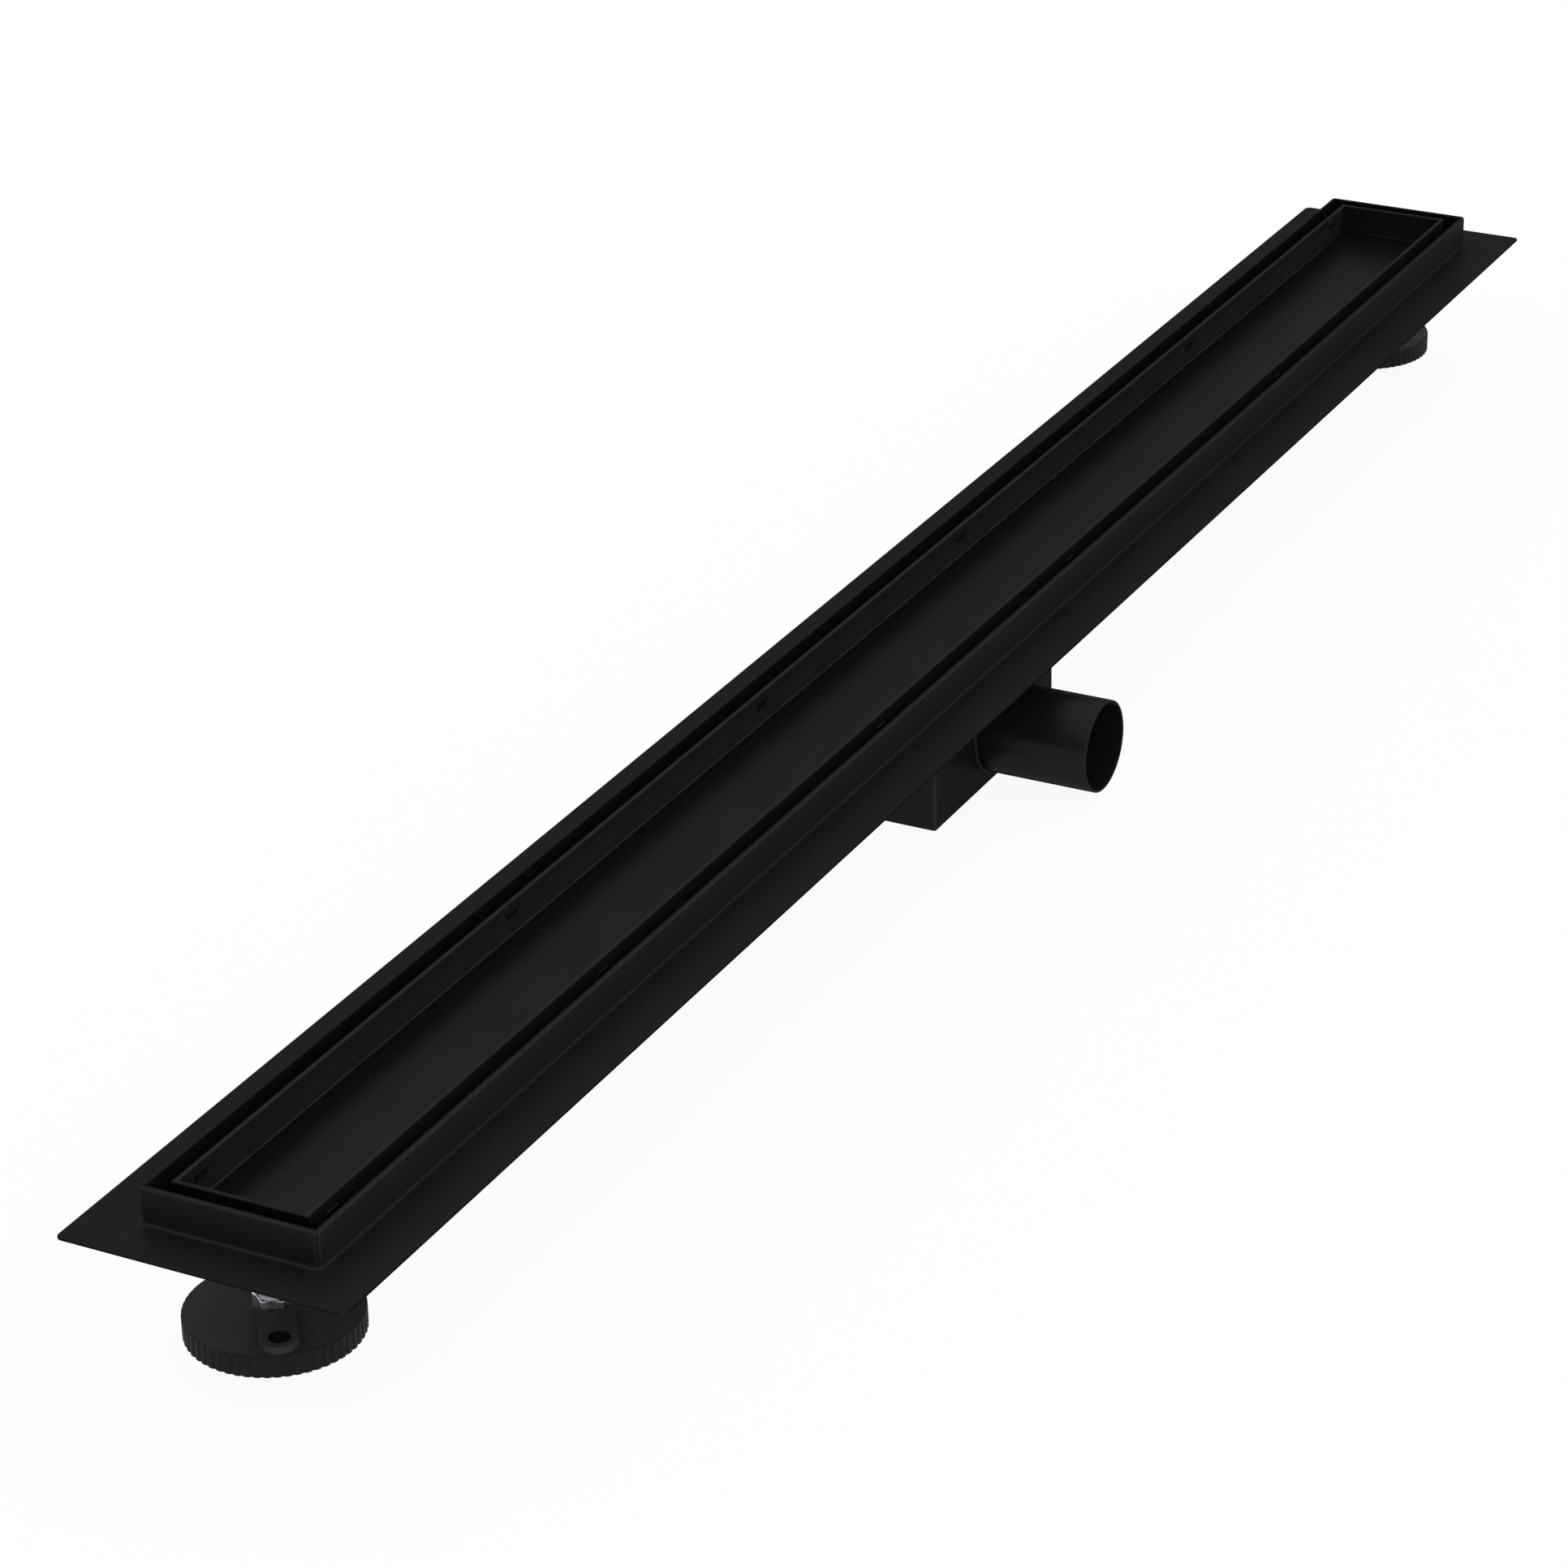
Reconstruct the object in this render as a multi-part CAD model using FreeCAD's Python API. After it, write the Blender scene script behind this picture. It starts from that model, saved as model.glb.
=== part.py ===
import FreeCAD, Part
import math
import os

# Linear shower drain with a tile tray: a folded steel channel with a bonding flange, a raised frame
# and a shallow trough, a welded trap housing with a side outlet, a lift-out tray for tiles, a lift-out
# odour trap, and two height-adjustable feet.
# Sizes are in millimetres. X runs along the drain, the outlet points to -Y and +Z is up.
# The origin is the centre of the trap housing's underside.

# Sheet steel
sheet = 0.8
hem_gap = 0.2
fold_radius = 0.8
corner_weld_radius = 0.9
corner_weld_inset = 0.6
tiny = 0.05

# Frame, the raised rim that the tiles meet
frame_length = 1100.0
frame_width = 72.0
frame_height = 15.0
frame_corner = 2.0
frame_inner_edge = 0.3
frame_outer_edge = 1.2
frame_foot_radius = 1.2
frame_foot_reach = 4.0

# Flange, which the waterproofing is bonded to
flange_end = 20.0
flange_side = 22.0
flange_corner = 2.5

# Trough
trough_depth = 12.9
trough_fall = 3.0
trough_fold = 2.0
trough_flat = 150.0
drain_hole_radius = 26.0

# Trap housing and outlet
trap_length = 118.0
trap_width = 59.0
trap_wall = 1.0
trap_edge_radius = 1.4
trap_base_radius = 1.2
outlet_radius = 20.0
outlet_wall = 1.0
outlet_above_base = 4.6
outlet_below_trough = 1.4
outlet_reach = 51.0
weld_leg = 1.0

# Tile tray
slot_side = 6.7
slot_end = 6.0
tray_depth = 14.6
tray_hem = 4.5
tray_edge = 0.45
tab_width = 8.4
tab_height = 3.0
tab_side_gap = 0.4
tab_lean = 21.0
tab_above_floor = 6.9
tab_end_inset = 16.2
front_tab_shares = (-1.0, -0.64, -0.198, 0.156, 0.608, 1.0)
rear_tab_shares = (-1.0, -0.592, -0.202, 0.16, 0.647, 1.0)

# Supports under the tray
support_end_inset = 100.0
support_trap_gap = 101.0
support_length = 20.0
support_half_width = 15.0
support_foot_reach = 25.0
pad_thickness = 1.5
pad_width = 7.0

# Odour trap
seal_thickness = 1.2
seal_wall = 1.35
seal_lip_drop = 2.0
seal_radius = 31.0
fit_gap = 0.05
insert_wall = 1.6
insert_flange = 1.8
insert_flange_radius = 30.5
insert_ledge_depth = 3.0
insert_ledge_width = 2.4
dip_tube_radius = 16.0
dip_tube_end = 10.0
funnel_height = 7.0
rib_count = 3
cup_radius = 24.0
cup_wall = 1.6
cup_height = 30.0
cup_inner_fillet = 3.0
strainer_thickness = 1.2
strainer_rise = 3.0
strainer_hole_radius = 1.9
strainer_row_radii = (8.0, 13.2, 18.2)
strainer_row_counts = (8, 14, 20)
strainer_knob_radius = 2.6
strainer_knob_height = 6.6

# Adjustable feet
foot_inset = 31.0
foot_offset = 5.0
foot_clearance = 8.7
foot_radius = 32.5
foot_height = 8.5
foot_wall = 2.2
foot_flutes = 56
flute_radius = 1.25
flute_depth = 0.45
foot_hub_radius = 10.5
foot_ribs = 8
foot_rib_thickness = 1.8
lug_width = 13.8
lug_rise = 3.0
lug_reach = 24.8
lug_hole_radius = 4.0
lug_turn_near = 217.0
lug_turn_far = 130.0
stud_radius = 4.0
stud_end = 0.7
stud_tip = 0.8
stud_collar_radius = 7.0
stud_collar = 1.5
nut_across_flats = 13.0
nut_height = 6.5
lock_nut_turn = 21.0

# Heights and places that follow from the sizes above
lip = 2 * sheet + hem_gap
outlet_height = outlet_above_base + outlet_radius
trap_height = outlet_height + outlet_radius + outlet_below_trough
trough_floor = trap_height + sheet
flange_top = trough_floor + trough_depth
frame_top = flange_top + frame_height
trough_half_length = frame_length / 2 - lip
trough_half_width = frame_width / 2 - lip
tray_length = 2 * (trough_half_length - slot_end)
tray_width = 2 * (trough_half_width - slot_side)
tray_floor = frame_top - tray_depth
tray_underside = tray_floor - sheet
tab_end_place = tray_length / 2 - tab_end_inset
support_end_place = frame_length / 2 - support_end_inset
support_trap_place = trap_length / 2 + support_trap_gap
support_places = (-support_end_place, -support_trap_place, support_trap_place, support_end_place)
foot_place = frame_length / 2 - foot_inset
foot_top = foot_clearance + foot_height

half_turn = math.cos(math.radians(45))


def floor_height(x):
    """Height of the trough's floor at x: level in the middle, rising towards both ends."""
    run = trough_half_length - trough_flat / 2
    beyond = max(0.0, abs(x) - trough_flat / 2)
    return trough_floor + trough_fall * beyond / run


def section(start, *steps):
    """Closed face in the XZ plane: each step is a line to a point, or an arc through one to another."""
    edges = []
    here = FreeCAD.Vector(start[0], 0, start[1])
    for step in steps + ((start,),):
        there = FreeCAD.Vector(step[-1][0], 0, step[-1][1])
        if len(step) == 2:
            middle = FreeCAD.Vector(step[0][0], 0, step[0][1])
            edges.append(Part.Arc(here, middle, there).toShape())
        elif here.distanceToPoint(there) > 1e-6:
            edges.append(Part.LineSegment(here, there).toShape())
        here = there
    return Part.Face(Part.Wire(edges))


def moved(shape, x=0.0, y=0.0, z=0.0):
    """Copy of a shape, shifted."""
    copy = shape.copy()
    copy.translate(FreeCAD.Vector(x, y, z))
    return copy


def turned(shape, degrees):
    """Copy of a shape, turned about the Z axis."""
    copy = shape.copy()
    copy.rotate(FreeCAD.Vector(0, 0, 0), FreeCAD.Vector(0, 0, 1), degrees)
    return copy


def spun(face):
    """Solid of revolution of a section about the Z axis."""
    return face.revolve(FreeCAD.Vector(0, 0, 0), FreeCAD.Vector(0, 0, 1), 360)


def joined(shapes):
    """One solid out of several that touch."""
    return shapes[0].multiFuse(shapes[1:]).removeSplitter()


def rounded_plate(length, width, radius, bottom, top):
    """Plate centred on the Z axis, with rounded corners seen from above."""
    plate = Part.makeBox(length, width, top - bottom, FreeCAD.Vector(-length / 2, -width / 2, bottom))
    upright = [edge for edge in plate.Edges if abs(edge.BoundBox.ZLength - (top - bottom)) < 1e-6]
    return plate.makeFillet(radius, upright)


def folded_ring(face, length, width, radius):
    """Carries a wall's section round a rectangle with rounded corners; x = 0 is the wall's outside."""
    parts = []
    for quarter in range(4):
        reach = (length, width)[quarter % 2] / 2
        straight = (width, length)[quarter % 2] - 2 * radius
        side = moved(face, reach, -straight / 2).extrude(FreeCAD.Vector(0, straight, 0))
        bend = moved(face, radius).revolve(FreeCAD.Vector(0, 0, 0), FreeCAD.Vector(0, 0, 1), 90)
        parts.append(turned(side, 90 * quarter))
        parts.append(turned(moved(bend, reach - radius, straight / 2), 90 * quarter))
    return joined(parts)


def mitred_ring(face, length, width):
    """Carries a wall's section round a rectangle, mitred at the corners; x = 0 is the wall's outside."""
    box = face.BoundBox
    sides = []
    for quarter in range(4):
        reach = (length, width)[quarter % 2] / 2
        half = (width, length)[quarter % 2] / 2
        longest = half + box.XMax
        side = moved(face, reach, -longest).extrude(FreeCAD.Vector(0, 2 * longest, 0))
        corners = (
            FreeCAD.Vector(reach + box.XMin, half + box.XMin, box.ZMin),
            FreeCAD.Vector(reach + box.XMax, half + box.XMax, box.ZMin),
            FreeCAD.Vector(reach + box.XMax, -half - box.XMax, box.ZMin),
            FreeCAD.Vector(reach + box.XMin, -half - box.XMin, box.ZMin),
            FreeCAD.Vector(reach + box.XMin, half + box.XMin, box.ZMin),
        )
        mitre = Part.Face(Part.makePolygon(corners)).extrude(FreeCAD.Vector(0, 0, box.ZLength))
        sides.append(turned(side.common(mitre), 90 * quarter))
    return joined(sides)


def corner_welds(length, width, bottom, top):
    """Weld seams standing up the four corners of a folded pan."""
    welds = []
    for x in (-1, 1):
        for y in (-1, 1):
            seam_x = x * (length / 2 - corner_weld_inset)
            seam_y = y * (width / 2 - corner_weld_inset)
            seam_foot = FreeCAD.Vector(seam_x, seam_y, bottom)
            welds.append(Part.makeCylinder(corner_weld_radius, top - bottom, seam_foot))
    return welds


def frame_section():
    """Frame wall: the trough's sheet comes up, is hemmed over and goes down again into the flange."""
    hem_centre = frame_top - lip / 2
    foot_centre = flange_top + frame_foot_radius
    inner_bend = frame_foot_radius * half_turn
    outer_bend = (frame_foot_radius + sheet) * half_turn
    seam = flange_top - 3 * sheet
    inner_edge = frame_inner_edge * (1 - half_turn)
    outer_edge = frame_outer_edge * (1 - half_turn)
    return section(
        (-lip, seam),
        ((-lip, frame_top - frame_inner_edge),),
        ((-lip + inner_edge, frame_top - inner_edge), (-lip + frame_inner_edge, frame_top)),
        ((-frame_outer_edge, frame_top),),
        ((-outer_edge, frame_top - outer_edge), (0, frame_top - frame_outer_edge)),
        ((0, foot_centre),),
        ((frame_foot_radius - inner_bend, foot_centre - inner_bend), (frame_foot_radius, flange_top)),
        ((frame_foot_reach, flange_top),),
        ((frame_foot_reach, flange_top - sheet),),
        ((frame_foot_radius, flange_top - sheet),),
        ((frame_foot_radius - outer_bend, foot_centre - outer_bend), (-sheet, foot_centre)),
        ((-sheet, hem_centre),),
        ((-lip / 2, hem_centre + hem_gap / 2), (-sheet - hem_gap, hem_centre)),
        ((-lip + sheet, seam),),
    )


def trough_wire(x, half_width, floor, fold):
    """U-shaped section of the trough across the drain, open side closed level with the frame's seam."""
    top = flange_top - 3 * sheet
    bend = fold * (1 - half_turn)
    points = section(
        (-half_width, top),
        ((-half_width, floor + fold),),
        ((-half_width + bend, floor + bend), (-half_width + fold, floor)),
        ((half_width - fold, floor),),
        ((half_width - bend, floor + bend), (half_width, floor + fold)),
        ((half_width, top),),
    )
    return moved(turned(points, 90), x).OuterWire


def trough_block(wall):
    """Body of the trough: four sections, ruled from one to the next. wall = 0 gives its hollow."""
    half_length = trough_half_length + wall
    stations = (-half_length, -trough_flat / 2, trough_flat / 2, half_length)
    wires = []
    for x in stations:
        floor = floor_height(x) - wall
        wires.append(trough_wire(x, trough_half_width + wall, floor, trough_fold + wall))
    return Part.makeLoft(wires, True, True)


def channel_body():
    """Flange, hemmed frame and trough, folded from one sheet."""
    ring = folded_ring(frame_section(), frame_length, frame_width, frame_corner)
    flange = rounded_plate(frame_length + 2 * flange_end, frame_width + 2 * flange_side,
                           flange_corner, flange_top - sheet, flange_top)
    frame_hole = rounded_plate(frame_length + 2 * frame_foot_reach, frame_width + 2 * frame_foot_reach,
                               frame_corner + frame_foot_reach, flange_top - sheet, flange_top)
    outside = rounded_plate(2 * (trough_half_length + sheet), 2 * (trough_half_width + sheet),
                            frame_corner - lip + sheet, 0, frame_top)
    trough = trough_block(sheet).common(outside).cut(trough_block(0))
    drain_hole = Part.makeCylinder(drain_hole_radius, 3 * sheet, FreeCAD.Vector(0, 0, trap_height - sheet))
    return joined([ring, flange.cut(frame_hole), trough.cut(drain_hole)])


def trap_box():
    """Open-topped housing with folded edges, welded under the trough, with the outlet's hole."""
    def block(length, width, bottom, top, side_radius, base_radius):
        body = rounded_plate(length, width, side_radius, bottom, top)
        base = [edge for edge in body.Edges if edge.BoundBox.ZMax < bottom + 1e-6]
        return body.makeFillet(base_radius, base)

    outside = block(trap_length, trap_width, 0, trap_height, trap_edge_radius, trap_base_radius)
    inside = block(trap_length - 2 * trap_wall, trap_width - 2 * trap_wall, trap_wall,
                   trap_height + trap_wall, trap_edge_radius - trap_wall, trap_base_radius - trap_wall)
    hole = Part.makeCylinder(outlet_radius, trap_width / 2, FreeCAD.Vector(0, 0, outlet_height),
                             FreeCAD.Vector(0, -1, 0))
    return outside.cut(inside).cut(hole)


def outlet_pipe():
    """Thin-walled pipe stub through the housing's front wall, with its weld bead."""
    start = -(trap_width / 2 - trap_wall)
    length = outlet_reach + trap_wall
    bead = section(
        (outlet_radius - outlet_wall, 0),
        ((outlet_radius, 0),),
        ((outlet_radius, trap_wall),),
        ((outlet_radius + weld_leg, trap_wall),),
        ((outlet_radius + weld_leg * half_turn, trap_wall + weld_leg * half_turn),
         (outlet_radius, trap_wall + weld_leg)),
        ((outlet_radius, length),),
        ((outlet_radius - outlet_wall, length),),
    )
    pipe = spun(bead)
    pipe.rotate(FreeCAD.Vector(0, 0, 0), FreeCAD.Vector(1, 0, 0), 90)
    return moved(pipe, 0, start, outlet_height)


def tray_section():
    """Tray wall: up from the floor's fold, hemmed inwards along the top."""
    hem_centre = frame_top - lip / 2
    inner = fold_radius * (1 - half_turn)
    outer = (fold_radius + sheet) * (1 - half_turn)
    edge = tray_edge * (1 - half_turn)
    floor_edge = -sheet - fold_radius - tiny
    return section(
        (floor_edge, tray_floor),
        ((-sheet - fold_radius, tray_floor),),
        ((-sheet - inner, tray_floor + inner), (-sheet, tray_floor + fold_radius)),
        ((-sheet, hem_centre),),
        ((-lip / 2, hem_centre + hem_gap / 2), (-sheet - hem_gap, hem_centre)),
        ((-sheet - hem_gap, frame_top - tray_hem),),
        ((-lip, frame_top - tray_hem),),
        ((-lip, frame_top - tray_edge),),
        ((-lip + edge, frame_top - edge), (-lip + tray_edge, frame_top)),
        ((-tray_edge, frame_top),),
        ((-edge, frame_top - edge), (0, frame_top - tray_edge)),
        ((0, tray_floor + fold_radius),),
        ((-outer, tray_underside + outer), (-fold_radius - sheet, tray_underside)),
        ((floor_edge, tray_underside),),
    )


def tray_tab():
    """Tongue cut in the tray's long wall and bent out into the slot, hinged at its lower edge."""
    lean = math.radians(tab_lean)
    out = FreeCAD.Vector(math.sin(lean), 0, math.cos(lean))
    thick = FreeCAD.Vector(-math.cos(lean), 0, math.sin(lean)) * sheet
    tip = out * (tab_height - tab_side_gap)
    return section(
        (0, -sheet),
        ((tip.x, tip.z),),
        ((tip.x + thick.x, tip.z + thick.z),),
        ((-sheet, tiny),),
        ((-sheet, -sheet),),
    )


def tile_tray():
    """Shallow pan that the tiles are laid in, with spacer tongues along both long walls."""
    ring = mitred_ring(tray_section(), tray_length, tray_width)
    weld_foot = tray_underside + sheet + fold_radius
    welds = corner_welds(tray_length, tray_width, weld_foot, frame_top - tray_edge)
    inset = sheet + fold_radius + tiny
    floor = Part.makeBox(tray_length - 2 * inset, tray_width - 2 * inset, sheet,
                         FreeCAD.Vector(-tray_length / 2 + inset, -tray_width / 2 + inset, tray_underside))
    base = tray_floor + tab_above_floor
    window = Part.makeBox(tab_width, 2 * sheet, tab_height,
                          FreeCAD.Vector(-tab_width / 2, tray_width / 2 - sheet - tiny, base))
    width = tab_width - 2 * tab_side_gap
    tongue = turned(tray_tab(), 90).extrude(FreeCAD.Vector(width, 0, 0))
    tongue = moved(tongue, -width / 2, tray_width / 2, base)
    tray = joined([ring, floor] + welds)
    for shares, side in ((rear_tab_shares, 0), (front_tab_shares, 180)):
        for share in shares:
            x = share * tab_end_place
            opening = moved(turned(window, side), x)
            tab = moved(turned(tongue, side), x)
            tray = tray.cut(opening).fuse(tab)
    return tray.removeSplitter()


def tray_support(x):
    """Hat-shaped bracket welded under the tray, standing on two rubber pads."""
    foot = floor_height(abs(x) + support_length / 2) + pad_thickness
    centre_low = foot + sheet + fold_radius
    centre_high = tray_underside - sheet - fold_radius
    outside = support_half_width
    wide = fold_radius + sheet
    half = [
        ((outside - wide, tray_underside),),
        ((outside - wide * (1 - half_turn), tray_underside - wide * (1 - half_turn)), (outside, centre_high)),
        ((outside, centre_low),),
        ((outside + fold_radius * (1 - half_turn), centre_low - fold_radius * half_turn),
         (outside + fold_radius, foot + sheet)),
        ((support_foot_reach, foot + sheet),),
        ((support_foot_reach, foot),),
        ((outside + fold_radius, foot),),
        ((outside + fold_radius - wide * half_turn, centre_low - wide * half_turn),
         (outside - sheet, centre_low)),
        ((outside - sheet, centre_high),),
        ((outside - sheet - fold_radius * (1 - half_turn), centre_high + fold_radius * half_turn),
         (outside - wide, tray_underside - sheet)),
    ]
    right = section((0, tray_underside), *half, ((0, tray_underside - sheet),))
    left = right.mirror(FreeCAD.Vector(0, 0, 0), FreeCAD.Vector(1, 0, 0))
    bracket = []
    for face in (right, left):
        bracket.append(turned(face, 90).extrude(FreeCAD.Vector(support_length, 0, 0)))
    return moved(joined(bracket), x - support_length / 2)


def tray_pads():
    """Rubber pads under the supports' feet: separate solids, one group."""
    pads = []
    reach = support_foot_reach - support_half_width - fold_radius
    for x in support_places:
        low = floor_height(abs(x) + support_length / 2)
        for side in (-1, 1):
            middle = side * (support_half_width + fold_radius + reach / 2)
            pad = Part.makeBox(support_length, pad_width, pad_thickness,
                               FreeCAD.Vector(x - support_length / 2, middle - pad_width / 2, low))
            pads.append(pad)
    return Part.makeCompound(pads)


def trap_seal():
    """Rubber ring with a collar, seated in the trough's drain hole."""
    outer = drain_hole_radius - fit_gap
    inner = outer - seal_wall
    return spun(section(
        (inner, trap_height - seal_lip_drop),
        ((outer, trap_height - seal_lip_drop),),
        ((outer, trough_floor),),
        ((seal_radius, trough_floor),),
        ((seal_radius, trough_floor + seal_thickness),),
        ((inner, trough_floor + seal_thickness),),
    ))


def trap_insert():
    """Moulded funnel and dip tube, hung by its flange, with ribs that centre the cup."""
    neck = drain_hole_radius - fit_gap - seal_wall - fit_gap
    seat = trough_floor + seal_thickness
    top = seat + insert_flange
    ledge = seat - insert_ledge_depth
    bore = dip_tube_radius - insert_wall
    inside = neck - insert_wall
    funnel = spun(section(
        (neck, seat),
        ((insert_flange_radius, seat),),
        ((insert_flange_radius, top),),
        ((inside, top),),
        ((inside, ledge),),
        ((inside - insert_ledge_width, ledge),),
        ((bore, ledge - funnel_height),),
        ((bore, dip_tube_end),),
        ((dip_tube_radius, dip_tube_end),),
        ((dip_tube_radius, ledge - funnel_height),),
        ((neck, ledge - insert_wall),),
    ))
    parts = [funnel]
    cup_bore = cup_radius - cup_wall
    cup_top = trap_wall + cup_height
    foot = trap_wall + cup_wall + cup_inner_fillet
    for index in range(rib_count):
        rib = Part.makeBox(cup_bore - fit_gap - bore, insert_wall, cup_top - foot,
                           FreeCAD.Vector(bore, -insert_wall / 2, foot))
        bottom = Part.makeBox(cup_bore, insert_wall, dip_tube_end - foot + insert_wall,
                              FreeCAD.Vector(0, -insert_wall / 2, foot))
        parts.append(turned(rib.cut(bottom), 360 * index / rib_count))
    return joined(parts)


def trap_cup():
    """Cup that holds the water seal, standing on the housing's floor."""
    top = trap_wall + cup_height
    bore = cup_radius - cup_wall
    floor = trap_wall + cup_wall
    round_in = cup_inner_fillet * (1 - half_turn)
    round_out = (cup_inner_fillet + cup_wall) * (1 - half_turn)
    corner = cup_inner_fillet + cup_wall
    return spun(section(
        (0, trap_wall),
        ((cup_radius - corner, trap_wall),),
        ((cup_radius - round_out, trap_wall + round_out), (cup_radius, trap_wall + corner)),
        ((cup_radius, top - cup_wall / 2),),
        ((cup_radius - cup_wall / 2, top), (bore, top - cup_wall / 2)),
        ((bore, floor + cup_inner_fillet),),
        ((bore - round_in, floor + round_in), (bore - cup_inner_fillet, floor)),
        ((0, floor),),
    ))


def hair_strainer():
    """Domed sieve with a knob to lift it by, lying on the insert's ledge."""
    neck = drain_hole_radius - fit_gap - seal_wall - fit_gap
    rim = neck - insert_wall - 2 * fit_gap
    base = trough_floor + seal_thickness - insert_ledge_depth
    flat = rim - insert_ledge_width
    dome = (flat ** 2 + strainer_rise ** 2) / (2 * strainer_rise)
    centre = base + strainer_rise - dome
    outer = dome + strainer_thickness

    def height(radius, x):
        return centre + math.sqrt(radius ** 2 - x ** 2)

    waist = strainer_knob_radius / 2
    ball = base + strainer_rise + strainer_knob_height - strainer_knob_radius
    sieve = spun(section(
        (0, base + strainer_rise),
        ((flat / 2, height(dome, flat / 2)), (flat, base)),
        ((rim, base),),
        ((rim, base + strainer_thickness),),
        ((flat, base + strainer_thickness),),
        ((flat, height(outer, flat)),),
        ((flat / 2, height(outer, flat / 2)), (waist, height(outer, waist))),
        ((waist, ball - math.sqrt(strainer_knob_radius ** 2 - waist ** 2)),),
        ((strainer_knob_radius, ball), (0, ball + strainer_knob_radius)),
    ))
    holes = []
    for row_radius, count in zip(strainer_row_radii, strainer_row_counts):
        for index in range(count):
            hole = Part.makeCylinder(strainer_hole_radius, strainer_rise + 4 * strainer_thickness,
                                     FreeCAD.Vector(row_radius, 0, base - strainer_thickness))
            holes.append(turned(hole, 360 * index / count))
    return sieve.cut(holes)


def foot_disc(x, lug_turn):
    """Moulded disc with a fluted rim, a ribbed underside, a nut pocket and a lug for a floor screw."""
    low = foot_clearance
    shell = spun(section(
        (0, low),
        ((foot_hub_radius, low),),
        ((foot_hub_radius, foot_top - foot_wall),),
        ((foot_radius - foot_wall, foot_top - foot_wall),),
        ((foot_radius - foot_wall, low),),
        ((foot_radius, low),),
        ((foot_radius, foot_top - flute_depth),),
        ((foot_radius - flute_depth, foot_top),),
        ((0, foot_top),),
    ))
    parts = [shell]
    for index in range(foot_ribs):
        rib = Part.makeBox(foot_radius - foot_wall - foot_hub_radius + 2 * tiny, foot_rib_thickness,
                           foot_height - foot_wall,
                           FreeCAD.Vector(foot_hub_radius - tiny, -foot_rib_thickness / 2, low))
        parts.append(turned(rib, 360 * (index + 0.5) / foot_ribs))
    lug_top = foot_top + lug_rise
    boss = Part.makeCylinder(lug_width / 2, lug_top - low, FreeCAD.Vector(lug_reach, 0, low))
    bar = Part.makeBox(lug_reach, lug_width, lug_rise + tiny,
                       FreeCAD.Vector(0, -lug_width / 2, foot_top - tiny))
    nut_room = Part.makeCylinder(nut_across_flats / math.sqrt(3) + 2 * fit_gap, lug_rise,
                                 FreeCAD.Vector(0, 0, foot_top))
    parts.append(boss)
    parts.append(bar)
    disc = joined(parts).cut(nut_room)
    cuts = [Part.makeCylinder(lug_hole_radius, lug_top, FreeCAD.Vector(lug_reach, 0, 0))]
    cuts.append(Part.makeCylinder(stud_radius + fit_gap, foot_top))
    pocket = moved(hexagon(nut_across_flats + 2 * fit_gap, nut_height + fit_gap), 0, 0, low)
    cuts.append(pocket)
    for index in range(foot_flutes):
        flute = Part.makeCylinder(flute_radius, foot_height,
                                  FreeCAD.Vector(foot_radius + flute_radius - flute_depth, 0, low))
        cuts.append(turned(flute, 360 * index / foot_flutes))
    return moved(turned(disc.cut(cuts), lug_turn), x, foot_offset)


def hexagon(across_flats, height):
    """Six-sided prism standing on the XY plane."""
    corner = across_flats / math.sqrt(3)
    points = []
    for index in range(7):
        angle = math.radians(60 * index)
        points.append(FreeCAD.Vector(corner * math.cos(angle), corner * math.sin(angle), 0))
    return Part.Face(Part.makePolygon(points)).extrude(FreeCAD.Vector(0, 0, height))


def hex_nut(x, bottom, turn):
    """Hexagon nut with both faces chamfered, running on the stud."""
    corner = nut_across_flats / math.sqrt(3)
    flat = nut_across_flats / 2
    drop = (corner - flat) * math.tan(math.radians(30))
    trim = spun(section(
        (0, 0),
        ((flat, 0),),
        ((corner, drop),),
        ((corner, nut_height - drop),),
        ((flat, nut_height),),
        ((0, nut_height),),
    ))
    bore = spun(section(
        (0, -stud_tip),
        ((stud_radius + fit_gap + 2 * stud_tip, -stud_tip),),
        ((stud_radius + fit_gap, stud_tip),),
        ((stud_radius + fit_gap, nut_height - stud_tip),),
        ((stud_radius + fit_gap + 2 * stud_tip, nut_height + stud_tip),),
        ((0, nut_height + stud_tip),),
    ))
    nut = hexagon(nut_across_flats, nut_height).common(trim).cut(bore)
    return moved(turned(nut, turn), x, foot_offset, bottom)


def foot_stud(x):
    """Threaded stud welded by its collar under the trough."""
    top = floor_height(abs(x) - stud_collar_radius) - sheet
    stud = spun(section(
        (0, stud_end),
        ((stud_radius - stud_tip, stud_end),),
        ((stud_radius, stud_end + stud_tip),),
        ((stud_radius, top - 2 * stud_collar),),
        ((stud_collar_radius - stud_collar, top - stud_collar),),
        ((stud_collar_radius, top - stud_collar),),
        ((stud_collar_radius, top),),
        ((0, top),),
    ))
    return moved(stud, x, foot_offset)


nodes = {
    "channel_body": channel_body(),
    "trap_box": trap_box(),
    "outlet_pipe": outlet_pipe(),
    "tile_tray": tile_tray(),
    "tray_pads": tray_pads(),
    "trap_seal": trap_seal(),
    "trap_insert": trap_insert(),
    "trap_cup": trap_cup(),
    "hair_strainer": hair_strainer(),
}

for number, place in enumerate(support_places, start=1):
    nodes[f"tray_support_{number}"] = tray_support(place)

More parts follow.
